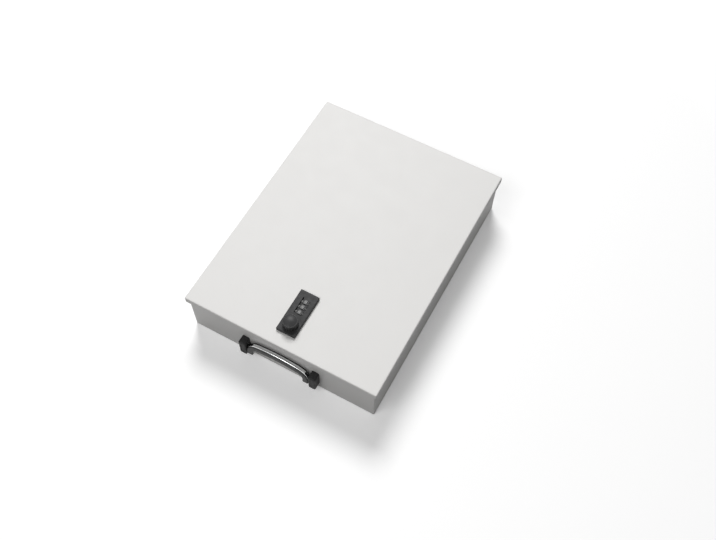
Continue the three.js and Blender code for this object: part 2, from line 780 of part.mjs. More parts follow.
function buildHandle() {
  const group = new THREE.Group();
  group.position.set(0, frontFace - pivotStandOff, pivotHeight);
  group.rotation.x = -THREE.MathUtils.degToRad(gripLean);
  const trimInside = trimProud - trimThickness;
  const blank = solidOf(softSlab(gripOutline(), 0, gripThickness, gripEdgeRadius, 7)
    .rotateX(Math.PI / 2).translate(0, gripThickness / 2, 0));
  const groove = edgeBand(
    trimInside - fit, gripDepth, trimFoot - fit, trimWidth + 2 * fit,
  );
  const eyes = bar('x', pivotPinRadius + fit, -mountSpacing, mountSpacing, [0, 0]);
  addPiece(group, 'handle_grip', cut(blank, [groove, eyes]), 'blackPlastic');
  addPiece(group, 'handle_trim', edgeBand(
    trimInside, trimProud, trimFoot, trimWidth,
  ), 'chrome');
  return group;
}

function buildHandleFittings() {
  const group = new THREE.Group();
  const names = { '-1': 'left', 1: 'right' };
  [-1, 1].forEach((side) => {
    addPiece(group, `handle_mount_${names[side]}`, handleMount(side), 'blackPlastic');
    const inner = gripHalfWidth - gripDepth;
    const outer = mountSpacing / 2 - mountWidth / 2 + pinHold;
    const ends = [side * inner, side * outer].sort((a, b) => a - b);
    const pin = bar('x', pivotPinRadius, ends[0], ends[1], [0, 0]);
    addPiece(group, `handle_pin_${names[side]}`, pin, 'zincSteel')
      .position.set(0, frontFace - pivotStandOff, pivotHeight);
  });
  const washerSeat = -sheet - seat;
  const headSeat = washerSeat - handleWasherThickness - seat;
  handleScrewPlaces().forEach(([x, z], index) => {
    const fastener = new THREE.Group();
    fastener.position.set(x, frontFace, z);
    fastener.rotation.x = Math.PI / 2;
    addPiece(fastener, `handle_washer_${index + 1}`, flatWasher(
      handleWasherRadius, handleScrewRadius + fit, washerSeat - handleWasherThickness, washerSeat,
    ), 'zincSteel');
    addPiece(fastener, `handle_screw_${index + 1}`, panScrew(
      handleScrewRadius, handleScrewHeadRadius, handleScrewHeadHeight, headSeat, handleScrewGrip,
    ), 'zincSteel');
    group.add(fastener);
  });
  return group;
}

const documentBox = new THREE.Group();
addPiece(documentBox, 'base_tray', bodyTray(), 'powderCoat');
addPiece(documentBox, 'lid_tray', lidTray(), 'powderCoat');
addPiece(documentBox, 'strike_plate', strikePlate(), 'zincSteel');
documentBox.add(buildHinge(), buildLock(), buildHandle(), buildHandleFittings());

export default documentBox;
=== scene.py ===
# A lockable document box of folded, powder-coated sheet steel, closed, with its carrying handle
# folded up on the front wall. Metres, +Z up, the front faces -Y, the box stands on the floor.

import json
from math import acos, cos, pi, radians, sin

import bmesh
import bpy
from mathutils import Matrix, Vector

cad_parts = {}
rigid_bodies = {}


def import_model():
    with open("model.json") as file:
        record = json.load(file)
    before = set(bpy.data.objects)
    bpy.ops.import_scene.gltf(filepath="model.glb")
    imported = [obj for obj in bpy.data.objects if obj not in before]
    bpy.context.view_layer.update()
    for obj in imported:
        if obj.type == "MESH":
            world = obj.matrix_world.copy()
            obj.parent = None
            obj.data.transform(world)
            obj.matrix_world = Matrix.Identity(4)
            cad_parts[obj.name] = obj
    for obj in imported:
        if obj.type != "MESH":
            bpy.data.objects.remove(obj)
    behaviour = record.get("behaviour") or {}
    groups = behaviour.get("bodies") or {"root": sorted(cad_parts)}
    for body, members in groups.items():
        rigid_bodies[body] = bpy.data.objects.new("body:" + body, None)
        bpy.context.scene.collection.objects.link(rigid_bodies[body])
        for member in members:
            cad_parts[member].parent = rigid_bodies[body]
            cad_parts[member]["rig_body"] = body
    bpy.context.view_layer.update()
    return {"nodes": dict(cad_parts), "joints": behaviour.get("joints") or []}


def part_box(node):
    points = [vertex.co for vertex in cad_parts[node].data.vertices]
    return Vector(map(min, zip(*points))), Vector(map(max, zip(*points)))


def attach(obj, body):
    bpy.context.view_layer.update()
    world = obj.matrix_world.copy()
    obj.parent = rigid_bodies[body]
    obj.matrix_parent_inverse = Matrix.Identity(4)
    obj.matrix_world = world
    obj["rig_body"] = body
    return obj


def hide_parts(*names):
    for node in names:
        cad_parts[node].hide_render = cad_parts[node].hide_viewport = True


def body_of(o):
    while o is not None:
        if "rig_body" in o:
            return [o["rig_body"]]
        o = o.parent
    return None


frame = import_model()
scene = bpy.context.scene
scene.view_settings.view_transform = "Standard"


# Camera. It stands in front of the box and to its right, about a metre above the lid, and looks
# steeply down at the front of the lid.
lens = bpy.data.cameras.new("camera")
lens.sensor_width = 36
lens.lens = 45.7169
lens.clip_start = 0.05
camera = bpy.data.objects.new("camera", lens)
camera.matrix_world = (
    Matrix.Translation((0.311875, -0.552146, 1.110688))
    @ Matrix.Rotation(radians(28.3972), 4, "Z")
    @ Matrix.Rotation(radians(29.2955), 4, "X")
    @ Matrix.Rotation(radians(0.4722), 4, "Z")
)
scene.collection.objects.link(camera)
scene.camera = camera


# Floor and room. The floor is matt and pale and keeps the box's shadow; to the eye, and to what
# bright metal mirrors, it is white, and so is the room behind it. To light that bounces onto the
# box it is dark grey, which is painted shade that keeps the box's front and sides darker.
def shows_plainly(nodes, links):
    seen = nodes.new("ShaderNodeLightPath")
    either = nodes.new("ShaderNodeMath")
    either.operation = "MAXIMUM"
    links.new(seen.outputs["Is Camera Ray"], either.inputs[0])
    links.new(seen.outputs["Is Glossy Ray"], either.inputs[1])
    any_of = nodes.new("ShaderNodeMath")
    any_of.operation = "MAXIMUM"
    links.new(either.outputs[0], any_of.inputs[0])
    links.new(seen.outputs["Is Transmission Ray"], any_of.inputs[1])
    return any_of.outputs[0]


floor_finish = bpy.data.materials.new("pale floor")
floor_finish.use_nodes = True
nodes, links = floor_finish.node_tree.nodes, floor_finish.node_tree.links
seen_plainly = shows_plainly(nodes, links)
# The floor is dark grey to bounced light, which is painted shade for the box's front and sides. It
# is white to the eye and to mirrors, which makes it the backdrop.
floor_white_and_bounce_shade = nodes.new("ShaderNodeMix")
floor_white_and_bounce_shade.data_type = "RGBA"
floor_white_and_bounce_shade.inputs["A"].default_value = (0.27, 0.27, 0.27, 1)
floor_white_and_bounce_shade.inputs["B"].default_value = (0.9, 0.9, 0.9, 1)
links.new(seen_plainly, floor_white_and_bounce_shade.inputs["Factor"])
links.new(floor_white_and_bounce_shade.outputs["Result"], nodes["Principled BSDF"].inputs["Base Color"])
lift = nodes.new("ShaderNodeMix")
lift.inputs["A"].default_value = 0
place = nodes.new("ShaderNodeTexCoord")
away = nodes.new("ShaderNodeVectorMath")
away.operation = "LENGTH"
links.new(place.outputs["Object"], away.inputs[0])
farther = nodes.new("ShaderNodeMapRange")
farther.inputs["From Min"].default_value = 0.6
farther.inputs["From Max"].default_value = 1.8
farther.inputs["To Min"].default_value = 0.25
farther.inputs["To Max"].default_value = 0.7
links.new(away.outputs["Value"], farther.inputs["Value"])
links.new(farther.outputs["Result"], lift.inputs["B"])
links.new(seen_plainly, lift.inputs["Factor"])
links.new(lift.outputs["Result"], nodes["Principled BSDF"].inputs["Emission Strength"])
nodes["Principled BSDF"].inputs["Emission Color"].default_value = (1, 1, 1, 1)
nodes["Principled BSDF"].inputs["Roughness"].default_value = 0.9
nodes["Principled BSDF"].inputs["Specular IOR Level"].default_value = 0.1

shape = bmesh.new()
bmesh.ops.create_grid(shape, x_segments=1, y_segments=1, size=1.8)
ground = bpy.data.meshes.new("floor")
shape.to_mesh(ground)
shape.free()
ground.materials.append(floor_finish)
floor = bpy.data.objects.new("floor", ground)
scene.collection.objects.link(floor)

room = bpy.data.worlds.new("room")
room.use_nodes = True
scene.world = room
nodes, links = room.node_tree.nodes, room.node_tree.links
strength = nodes.new("ShaderNodeMix")
strength.inputs["A"].default_value = 0.1
strength.inputs["B"].default_value = 1
links.new(shows_plainly(nodes, links), strength.inputs["Factor"])
links.new(strength.outputs["Result"], nodes["Background"].inputs["Strength"])
nodes["Background"].inputs["Color"].default_value = (1, 1, 1, 1)


# Lights. A broad soft lamp stands high behind the box on the left, and a weaker one in front of
# it evens out the near side.
def lamp(name, place, target, size, power):
    light = bpy.data.lights.new(name, "AREA")
    light.shape = "DISK"
    light.size = size
    light.energy = power
    stand = bpy.data.objects.new(name, light)
    turn = (Vector(target) - Vector(place)).to_track_quat("-Z", "Y").to_matrix().to_4x4()
    stand.matrix_world = Matrix.Translation(place) @ turn
    scene.collection.objects.link(stand)


lamp("lamp behind left", (-1.62, 2.59, 4.05), (0, -0.05, 0.05), 2.2, 180)
lamp("lamp over the front", (-0.3, -1.2, 1.9), (0, -0.1, 0.05), 1.2, 15)


# Body. One folded tray of 1.2 mm sheet steel, powder coated light grey inside and out. Its walls
# end in a rim turned inwards, and four holes in the front wall take the handle's screws.
sheet = 0.0012
wall_fold = 0.0018
corner_round = 0.002
rim_width = 0.008
wall_screw_hole = 0.0019
worn_width = 0.0014


def new_finish(name):
    finish = bpy.data.materials.new(name)
    finish.use_nodes = True
    nodes = finish.node_tree.nodes
    return finish, nodes, finish.node_tree.links, nodes["Principled BSDF"]


def noise(nodes, links, scale, detail=2.0, rough=0.5, stretch=(1, 1, 1)):
    place = nodes.new("ShaderNodeTexCoord")
    pull = nodes.new("ShaderNodeMapping")
    pull.inputs["Scale"].default_value = stretch
    made = nodes.new("ShaderNodeTexNoise")
    made.inputs["Scale"].default_value = scale
    made.inputs["Detail"].default_value = detail
    made.inputs["Roughness"].default_value = rough
    links.new(place.outputs["Object"], pull.inputs["Vector"])
    links.new(pull.outputs["Vector"], made.inputs["Vector"])
    return made.outputs["Fac"]


def spread(nodes, links, source, low, high, start=0.3, end=0.7):
    made = nodes.new("ShaderNodeMapRange")
    made.inputs["From Min"].default_value = start
    made.inputs["From Max"].default_value = end
    made.inputs["To Min"].default_value = low
    made.inputs["To Max"].default_value = high
    links.new(source, made.inputs["Value"])
    return made.outputs["Result"]


def blended(nodes, links, amount, first, second):
    made = nodes.new("ShaderNodeMix")
    made.data_type = "RGBA"
    for side, colour in (("A", first), ("B", second)):
        if isinstance(colour, tuple):
            made.inputs[side].default_value = (*colour, 1)
        else:
            links.new(colour, made.inputs[side])
    links.new(amount, made.inputs["Factor"])
    return made.outputs["Result"]


def product(nodes, links, first, second):
    made = nodes.new("ShaderNodeMath")
    made.operation = "MULTIPLY"
    links.new(first, made.inputs[0])
    links.new(second, made.inputs[1])
    return made.outputs[0]


def grain(nodes, links, layers):
    under = None
    for source, height, weight in layers:
        made = nodes.new("ShaderNodeBump")
        made.inputs["Distance"].default_value = height
        made.inputs["Strength"].default_value = weight
        links.new(source, made.inputs["Height"])
        if under:
            links.new(under, made.inputs["Normal"])
        under = made.outputs["Normal"]
    return under


def near_level(nodes, links, axis, level, width):
    place = nodes.new("ShaderNodeTexCoord")
    parts = nodes.new("ShaderNodeSeparateXYZ")
    links.new(place.outputs["Object"], parts.inputs["Vector"])
    size = nodes.new("ShaderNodeMath")
    size.operation = "ABSOLUTE"
    links.new(parts.outputs[axis], size.inputs[0])
    return spread(nodes, links, size.outputs[0], 0, 1, level - width, level)


def powder_coat(name, high):
    finish, nodes, links, surface = new_finish(name)
    shade = spread(nodes, links, noise(nodes, links, 3, 3), 0, 1)
    clean = blended(nodes, links, shade, (0.782, 0.774, 0.76), (0.79, 0.782, 0.768))
    specks = spread(nodes, links, noise(nodes, links, 900, 1), 0, 1, 0.72, 0.8)
    specked = blended(nodes, links, specks, clean, (0.72, 0.71, 0.69))
    handled = product(
        nodes, links,
        product(
            nodes, links, near_level(nodes, links, "X", high.x, worn_width),
            near_level(nodes, links, "Z", high.z, worn_width),
        ),
        spread(nodes, links, noise(nodes, links, 90, 4, 0.65), 0, 0.5, 0.52, 0.72),
    )
    coat = blended(nodes, links, handled, specked, (0.6, 0.59, 0.57))
    links.new(coat, surface.inputs["Base Color"])
    rub = spread(nodes, links, noise(nodes, links, 45, 3, 0.6), 0.47, 0.51)
    links.new(rub, surface.inputs["Roughness"])
    surface.inputs["Specular IOR Level"].default_value = 0.35
    links.new(grain(nodes, links, [
        (noise(nodes, links, 260, 2), 0.00006, 0.16),
        (noise(nodes, links, 1400, 2), 0.00004, 0.35),
    ]), surface.inputs["Normal"])
    return finish


def block(low, high):
    shape = bmesh.new()
    low, high = Vector(low), Vector(high)
    bmesh.ops.create_cube(shape, size=1)
    bmesh.ops.scale(shape, vec=high - low, verts=shape.verts)
    bmesh.ops.translate(shape, vec=(high + low) / 2, verts=shape.verts)
    return shape


def round_off(shape, edges, size, steps=4):
    bmesh.ops.bevel(
        shape, geom=edges, offset=size, offset_type="OFFSET", segments=steps, profile=0.5,
        affect="EDGES", material=-1, clamp_overlap=True,
    )


def edges_along(shape, axis):
    return [
        edge for edge in shape.edges
        if abs((edge.verts[0].co - edge.verts[1].co).normalized()[axis]) > 0.999
    ]


def level_edges(shape):
    return [edge for edge in shape.edges if abs((edge.verts[0].co - edge.verts[1].co).z) < 1e-6]


def folded_block(low, high, upright, fold=0):
    shape = block(low, high)
    round_off(shape, edges_along(shape, 2), upright, 6)
    if fold:
        round_off(shape, level_edges(shape), fold, 5)
    return shape


def rod(radius, start, end, sides=48):
    shape = bmesh.new()
    start, end = Vector(start), Vector(end)
    turn = (end - start).to_track_quat("Z", "Y").to_matrix().to_4x4()
    bmesh.ops.create_cone(
        shape, cap_ends=True, segments=sides, radius1=radius, radius2=radius,
        depth=(end - start).length, matrix=Matrix.Translation((start + end) / 2) @ turn,
    )
    return shape


def moved(shape, matrix):
    bmesh.ops.transform(shape, matrix=matrix, verts=shape.verts)
    return shape


def gathered(shapes):
    mesh = bpy.data.meshes.new("gathered")
    whole = bmesh.new()
    for shape in shapes:
        shape.to_mesh(mesh)
        shape.free()
        whole.from_mesh(mesh)
    bpy.data.meshes.remove(mesh)
    return whole


def combined(way, shape, *others):
    things = []
    for made in (shape, *others):
        bmesh.ops.recalc_face_normals(made, faces=made.faces)
        mesh = bpy.data.meshes.new("blank")
        made.to_mesh(mesh)
        made.free()
        things.append(bpy.data.objects.new("blank", mesh))
        scene.collection.objects.link(things[-1])
    for other in things[1:]:
        step = things[0].modifiers.new("step", "BOOLEAN")
        step.operation = way
        step.solver = "EXACT"
        step.object = other
    result = bmesh.new()
    result.from_object(things[0], bpy.context.evaluated_depsgraph_get())
    for thing in things:
        mesh = thing.data
        bpy.data.objects.remove(thing)
        bpy.data.meshes.remove(mesh)
    return result


def carved(shape, *tools):
    return combined("DIFFERENCE", shape, *tools)


def put(shape, name, finish, node, edge=0.0, steps=2, sharp=32, edge_wear_and_highlight=None, replacing=True):
    bmesh.ops.remove_doubles(shape, verts=shape.verts, dist=2e-6)
    bmesh.ops.recalc_face_normals(shape, faces=shape.faces)
    for face in shape.faces:
        face.smooth = True
    for side in shape.edges:
        side.smooth = len(side.link_faces) == 2 and side.calc_face_angle() < radians(sharp)
    mesh = bpy.data.meshes.new(name)
    shape.to_mesh(mesh)
    shape.free()
    mesh.materials.append(finish)
    piece = bpy.data.objects.new(name, mesh)
    scene.collection.objects.link(piece)
    if edge:
        soften = piece.modifiers.new("edges", "BEVEL")
        soften.width = edge
        soften.segments = steps
        soften.limit_method = "ANGLE"
        soften.angle_limit = radians(sharp)
        soften.harden_normals = True
        soften.use_clamp_overlap = True
        # The bevelled edges get the second finish. Part of it is edge wear and part is a painted
        # highlight.
        if edge_wear_and_highlight:
            mesh.materials.append(edge_wear_and_highlight)
            soften.material = 1
    shading = piece.modifiers.new("shading", "WEIGHTED_NORMAL")
    shading.keep_sharp = True
    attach(piece, body_of(frame["nodes"][node])[0])
    if replacing:
        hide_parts(node)


def middle(node):
    low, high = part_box(node)
    return (low + high) / 2


low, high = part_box("base_tray")
thick = Vector((sheet, sheet, sheet))
turned_in = sheet + rim_width
shape = carved(
    folded_block(low, high, corner_round, wall_fold),
    folded_block(low + thick, high - thick, corner_round - sheet, wall_fold - sheet),
    folded_block(
        (low.x + turned_in, low.y + turned_in, high.z - 2 * sheet),
        (high.x - turned_in, high.y - turned_in, high.z + sheet), corner_round,
    ),
    gathered([
        rod(
            wall_screw_hole, (place.x, low.y - sheet, place.z),
            (place.x, low.y + 2 * sheet, place.z), 32,
        ) for place in (middle(f"handle_screw_{number}") for number in (1, 2, 3, 4))
    ]),
)
put(shape, "body_tray", powder_coat("light grey powder coat", high), "base_tray", edge=0.0002)


# Lid. A shallow tray folded from the same sheet, coated like the body. Its flange overlaps the
# body all round, the lock case sits in a cut-out near the front edge, and the spot welds of the
# hinge show as shallow marks on the flange at the back.
low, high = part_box("lid_tray")
lock_low, lock_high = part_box("lock_back_cover")
hole_play = 0.0003
past_end = 0.01
weld_count = 8
weld_step = 0.03
weld_height = 0.0042
weld_floor = 0.0016
weld_round = 0.0021
weld_depth = 0.00025
welds = []
for step in range(weld_count):
    mark = bmesh.new()
    bmesh.ops.create_cone(
        mark, cap_ends=True, segments=32, radius1=weld_floor, radius2=2 * weld_round - weld_floor,
        depth=2 * weld_depth,
        matrix=Matrix.Translation((
            (step - (weld_count - 1) / 2) * weld_step, high.y, low.z + weld_height,
        )) @ Matrix.Rotation(-pi / 2, 4, "X"),
    )
    welds.append(mark)
shape = carved(
    folded_block((low.x, low.y, low.z - past_end), high, corner_round, wall_fold),
    block(
        (low.x - past_end, low.y - past_end, low.z - 2 * past_end),
        (high.x + past_end, high.y + past_end, low.z),
    ),
    folded_block(
        (low.x + sheet, low.y + sheet, low.z - past_end), high - thick,
        corner_round - sheet, wall_fold - sheet,
    ),
    block(
        (lock_low.x - hole_play, lock_low.y - hole_play, high.z - 2 * sheet),
        (lock_high.x + hole_play, lock_high.y + hole_play, high.z + sheet),
    ),
    gathered(welds),
)
put(shape, "lid_shell", powder_coat("light grey powder coat, lid", high), "lid_tray", edge=0.0002)
lid_top = high.z


# Hinge. Two zinc-plated leaves with rolled knuckles turn on a long pin. One leaf is spot welded
# to the body's back wall and the other inside the lid's flange.
def zinc_plate(name, brushed=(1, 1, 1)):
    finish, nodes, links, surface = new_finish(name)
    cell_place = nodes.new("ShaderNodeTexCoord")
    cells = nodes.new("ShaderNodeTexVoronoi")
    cells.inputs["Scale"].default_value = 350
    links.new(cell_place.outputs["Object"], cells.inputs["Vector"])
    bloom = nodes.new("ShaderNodeSeparateColor")
    links.new(cells.outputs["Color"], bloom.inputs["Color"])
    plated = blended(
        nodes, links, spread(nodes, links, bloom.outputs["Red"], 0, 1, 0, 1),
        (0.38, 0.388, 0.392), (0.45, 0.454, 0.458),
    )
    dull = spread(nodes, links, noise(nodes, links, 40, 4, 0.6), 0, 0.55, 0.5, 0.75)
    plating = blended(nodes, links, dull, plated, (0.32, 0.314, 0.3))
    links.new(plating, surface.inputs["Base Color"])
    surface.inputs["Metallic"].default_value = 1
    drawn = noise(nodes, links, 500, 3, 0.6, brushed)
    links.new(spread(nodes, links, drawn, 0.38, 0.5), surface.inputs["Roughness"])
    links.new(grain(nodes, links, [(drawn, 0.00003, 0.3)]), surface.inputs["Normal"])
    return finish


zinc = zinc_plate("zinc plate")
drawn_zinc = zinc_plate("zinc plate drawn lengthways", (0.04, 1, 1))


def refined(node, finish, edge):
    shape = bmesh.new()
    shape.from_mesh(frame["nodes"][node].data)
    bmesh.ops.remove_doubles(shape, verts=shape.verts, dist=1e-6)
    bmesh.ops.dissolve_limit(
        shape, angle_limit=radians(1), verts=shape.verts, edges=shape.edges,
    )
    put(shape, node + "_finished", finish, node, edge=edge)


refined("hinge_leaf_base", drawn_zinc, 0)
refined("hinge_leaf_lid", drawn_zinc, 0)
low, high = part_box("hinge_pin")
axle = middle("hinge_pin")
pin_radius = (high.z - low.z) / 2
put(
    rod(pin_radius, (low.x, axle.y, axle.z), (high.x, axle.y, axle.z), 32),
    "hinge_pin_wire", drawn_zinc, "hinge_pin", edge=0.0003, steps=3,
)


# Strike. An angle bent from zinc-plated steel and welded inside the front wall. The lock's cam
# turns under its level leg and so holds the lid down.
strike_steel = 0.0015
strike_bend = 0.0021
strike_bend_inside = 0.0006
low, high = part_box("strike_plate")
outer = block(low, high)
bend = [
    edge for edge in edges_along(outer, 0)
    if max(point.co.z for point in edge.verts) < low.z + 1e-5
    and max(point.co.y for point in edge.verts) < low.y + 1e-5
]
round_off(outer, bend, strike_bend, 6)
inner = block(
    (low.x - past_end, low.y + strike_steel, low.z + strike_steel),
    high + Vector((past_end, past_end, past_end)),
)
bend = [
    edge for edge in edges_along(inner, 0)
    if max(point.co.z for point in edge.verts) < low.z + 2 * strike_steel
    and max(point.co.y for point in edge.verts) < low.y + 2 * strike_steel
]
round_off(inner, bend, strike_bend_inside, 4)
put(carved(outer, inner), "strike_angle", zinc, "strike_plate", edge=0.0002)


# Lock case. A zinc casting with a satin dark grey coat: a raised plate on the lid, with a window
# for each dial, a slot that joins the windows, and the case below it that fills the lid's cut-out.
def dark_coat(name, colour, worn_colour, roughness=0.42):
    finish, nodes, links, surface = new_finish(name)
    patchy = spread(nodes, links, noise(nodes, links, 90, 3), 0, 1)
    rubbed = spread(nodes, links, noise(nodes, links, 500, 4, 0.65), 0, 0.35, 0.55, 0.75)
    darker = tuple(0.86 * part for part in colour)
    coat = blended(nodes, links, patchy, darker, colour)
    links.new(blended(nodes, links, rubbed, coat, worn_colour), surface.inputs["Base Color"])
    links.new(
        spread(nodes, links, noise(nodes, links, 200, 3), roughness - 0.05, roughness + 0.07),
        surface.inputs["Roughness"],
    )
    surface.inputs["Specular IOR Level"].default_value = 0.14
    links.new(grain(nodes, links, [
        (noise(nodes, links, 1100, 2), 0.00005, 0.3),
        (noise(nodes, links, 3500, 2), 0.00003, 0.4),
    ]), surface.inputs["Normal"])
    return finish


case_coat = dark_coat("dark grey coat", (0.038, 0.038, 0.039), (0.085, 0.085, 0.085))
# The case's edges get their own coat, lighter than the faces. Part of it is wear where the coat is
# rubbed through, and part is a painted highlight that runs along every edge.
case_edge_wear_and_highlight = dark_coat("dark grey coat, worn edge with painted highlight", (0.05, 0.05, 0.051), (0.14, 0.14, 0.14))
dial_places = [middle(f"dial_{number}") for number in (1, 2, 3)]
knob_place = middle("lock_knob")
plate_corner = 0.0008
plate_edge = 0.0006
window_half = 0.0031
window_radius = 0.0089
pocket_half = 0.0102
pocket_front = dial_places[0].y - 0.003
pocket_back = dial_places[2].y + 0.0055
roof = 0.0018
slot_right = -0.003696
slot_width = 0.0016
plate_gap = 0.0001
spindle_bore = 0.0043
case_screw_hole = 0.0018
case_screw_depth = 0.0073
low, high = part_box("lock_housing")
plate = folded_block((low.x, low.y, lid_top + plate_gap), high, plate_corner)
top_edges = [edge for edge in level_edges(plate) if edge.verts[0].co.z > high.z - 1e-6]
round_off(plate, top_edges, plate_edge, 3)
shape = combined("UNION", plate, block(
    (lock_low.x, lock_low.y, low.z), (lock_high.x, lock_high.y, high.z - roof),
))
shape = carved(
    shape,
    block((-pocket_half, pocket_front, low.z - sheet), (pocket_half, pocket_back, high.z - roof)),
    gathered([
        rod(
            window_radius, (place.x, place.y - window_half, place.z),
            (place.x, place.y + window_half, place.z), 96,
        ) for place in dial_places
    ]),
    block(
        (slot_right - slot_width, pocket_front, low.z), (slot_right, pocket_back, high.z + sheet),
    ),
    gathered([rod(
        spindle_bore, (knob_place.x, knob_place.y, low.z - sheet),
        (knob_place.x, knob_place.y, high.z + sheet), 48,
    )] + [
        rod(
            case_screw_hole, (0, place.y, low.z - sheet),
            (0, place.y, low.z + case_screw_depth), 24,
        ) for place in (middle("lock_screw_front"), middle("lock_screw_rear"))
    ]),
)
put(shape, "lock_case", case_coat, "lock_housing", edge=0.00018, edge_wear_and_highlight=case_edge_wear_and_highlight)


# Dials. Three moulded wheels of black plastic, each with ten flats that carry the numbers 0 to 9
# in raised, pale figures, and a groove for the thumb between the flats. They show 0 0 0.
dial_black, nodes, links, surface = new_finish("dial plastic")
tone = spread(nodes, links, noise(nodes, links, 400, 3), 0, 1)
links.new(
    blended(nodes, links, tone, (0.044, 0.044, 0.045), (0.054, 0.054, 0.055)),
    surface.inputs["Base Color"],
)
rough = spread(nodes, links, noise(nodes, links, 700, 3), 0.36, 0.46)
links.new(rough, surface.inputs["Roughness"])
fine = noise(nodes, links, 2500, 2)
links.new(grain(nodes, links, [(fine, 0.00003, 0.3)]), surface.inputs["Normal"])
figure_paint, nodes, links, surface = new_finish("pale figure paint")
tone = spread(nodes, links, noise(nodes, links, 1500, 4, 0.7), 0, 1, 0.45, 0.8)
links.new(
    blended(nodes, links, tone, (0.42, 0.42, 0.405), (0.27, 0.27, 0.26)),
    surface.inputs["Base Color"],
)
rough = spread(nodes, links, noise(nodes, links, 2000, 2), 0.5, 0.65)
links.new(rough, surface.inputs["Roughness"])
type_size = 0.0045
figure_height = 0.0031
figure_rise = 0.00008
number_count = 10
dial_step = radians(360 / number_count)
groove_away = 0.0086
groove_radius = 0.0008
dial_bore = 0.0053


def figure(text):
    words = bpy.data.curves.new("figure", "FONT")
    words.body = text
    words.size = type_size
    words.extrude = figure_rise
    words.resolution_u = 6
    thing = bpy.data.objects.new("figure", words)
    scene.collection.objects.link(thing)
    drawn = thing.evaluated_get(bpy.context.evaluated_depsgraph_get())
    mesh = bpy.data.meshes.new_from_object(drawn)
    shape = bmesh.new()
    shape.from_mesh(mesh)
    bpy.data.meshes.remove(mesh)
    bpy.data.objects.remove(thing)
    bpy.data.curves.remove(words)
    bmesh.ops.remove_doubles(shape, verts=shape.verts, dist=1e-6)
    across = [vert.co.x for vert in shape.verts]
    up = [vert.co.y for vert in shape.verts]
    centre = Vector(((max(across) + min(across)) / 2, (max(up) + min(up)) / 2, 0))
    bmesh.ops.translate(shape, vec=-centre, verts=shape.verts)
    size = figure_height / (max(up) - min(up))
    bmesh.ops.scale(shape, vec=(size, size, 1), verts=shape.verts)
    return shape


for number, place in enumerate(dial_places, 1):
    low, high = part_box(f"dial_{number}")
    flat = (high.z - low.z) / 2
    half = (high.y - low.y) / 2
    wheel = bmesh.new()
    bmesh.ops.create_cone(
        wheel, cap_ends=True, segments=number_count, radius1=flat / cos(dial_step / 2),
        radius2=flat / cos(dial_step / 2), depth=2 * half,
        matrix=Matrix.Rotation(pi / 2, 4, "X") @ Matrix.Rotation(dial_step / 2, 4, "Z"),
    )
    cuts = []
    for turn in range(number_count):
        angle = dial_step * (turn + 0.5)
        x, z = groove_away * sin(angle), groove_away * cos(angle)
        cuts.append(rod(groove_radius, (x, -2 * half, z), (x, 2 * half, z), 24))
    cuts.append(rod(dial_bore, (0, -2 * half, 0), (0, 2 * half, 0)))
    wheel = carved(wheel, gathered(cuts))
    put(
        moved(wheel, Matrix.Translation(place)), f"dial_wheel_{number}_ring", dial_black,
        f"dial_{number}", edge=0.00015,
    )
    figures = []
    for turn in range(number_count):
        stand = Matrix.Rotation(dial_step * turn, 4, "Y") @ Matrix.Translation((0, 0, flat))
        figures.append(moved(figure(str(turn)), stand @ Matrix.Rotation(pi / 2, 4, "Z")))
    put(
        moved(gathered(figures), Matrix.Translation(place)), f"dial_wheel_{number}_figures",
        figure_paint, f"dial_{number}", replacing=False,
    )


# Inside the lock case. The dials turn notched brass sleeves on a steel shaft, leaf springs click
# them from number to number, and the brass bar's teeth enter the notches when the code is right.
brass, nodes, links, surface = new_finish("machined brass")
tone = spread(nodes, links, noise(nodes, links, 300, 4, 0.6), 0, 1)
links.new(
    blended(nodes, links, tone, (0.62, 0.44, 0.19), (0.74, 0.56, 0.28)),
    surface.inputs["Base Color"],
)
surface.inputs["Metallic"].default_value = 1
turning = noise(nodes, links, 900, 2, 0.5, (0.1, 1, 0.1))
links.new(spread(nodes, links, turning, 0.24, 0.38), surface.inputs["Roughness"])
links.new(grain(nodes, links, [(turning, 0.00003, 0.3)]), surface.inputs["Normal"])
for number in (1, 2, 3):
    refined(f"dial_sleeve_{number}", brass, 0.0001)
refined("blocking_bar", brass, 0.0001)
refined("dial_spring", zinc, 0.00006)
low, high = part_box("dial_shaft")
axle = middle("dial_shaft")
put(
    rod((high.z - low.z) / 2, (axle.x, low.y, axle.z), (axle.x, high.y, axle.z), 32),
    "dial_shaft_rod", zinc, "dial_shaft", edge=0.0003, steps=3,
)


# Knob. One casting with its spindle: a low dome inside a narrow rim, flutes round the side for
# the fingers, a square for the cam and a threaded stud for the nut.
def spun(points, sides=96):
    shape = bmesh.new()
    verts = [shape.verts.new((radius, 0, height)) for radius, height in points]
    edges = [shape.edges.new(pair) for pair in zip(verts, verts[1:])]
    bmesh.ops.spin(
        shape, geom=verts + edges, cent=(0, 0, 0), axis=(0, 0, 1), dvec=(0, 0, 0),
        angle=2 * pi, steps=sides, use_merge=True,
    )
    bmesh.ops.remove_doubles(shape, verts=shape.verts, dist=1e-7)
    return shape


thread_pitch = 0.0007
thread_depth = 0.0003


def threaded(radius, start, end):
    turns = int(abs(end - start) / thread_pitch)
    step = (end - start) / turns
    crest, root = radius, radius - thread_depth
    points = []
    for turn in range(turns):
        for away, share in ((crest, 0.15), (crest, 0.3), (root, 0.65), (root, 0.8)):
            points.append((away, start + step * (turn + share)))
    return points


